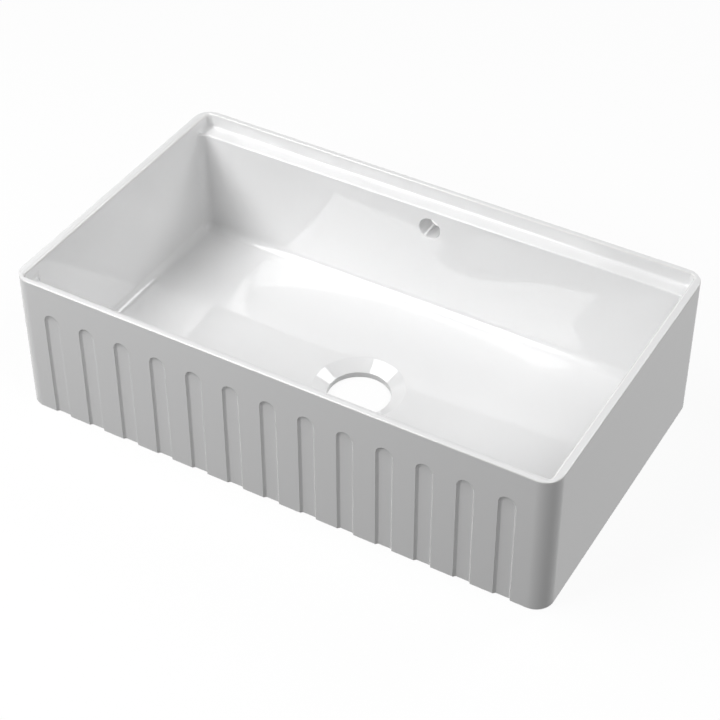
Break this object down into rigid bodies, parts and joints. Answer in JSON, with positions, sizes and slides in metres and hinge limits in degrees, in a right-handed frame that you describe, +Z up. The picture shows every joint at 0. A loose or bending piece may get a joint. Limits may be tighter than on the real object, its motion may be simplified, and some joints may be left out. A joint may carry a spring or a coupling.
{
  "type": "farmhouse apron front sink",
  "caption": "Single-bowl farmhouse sink in white glazed fireclay, with a fluted apron front, ledges for a board, a central waste and a back overflow.",
  "frame": {"origin": "centre of the flat base, which stands on the cabinet or the worktop's supports", "axes": "+X along the sink, +Y from the fluted front to the back, +Z up"},
  "size_m": [0.795, 0.46, 0.22],
  "materials": {
    "white_glaze": "glossy"
  },
  "bodies": {
    "root": {"fluted_apron": "white_glaze", "back_panel": "white_glaze", "left_end": "white_glaze", "right_end": "white_glaze", "bowl_floor": "white_glaze", "waste_seat": "white_glaze", "bowl_front_wall": "white_glaze", "bowl_back_wall": "white_glaze", "front_ledge": "white_glaze", "back_ledge": "white_glaze", "overflow_sleeve": "white_glaze"}
  },
  "joints": []
}
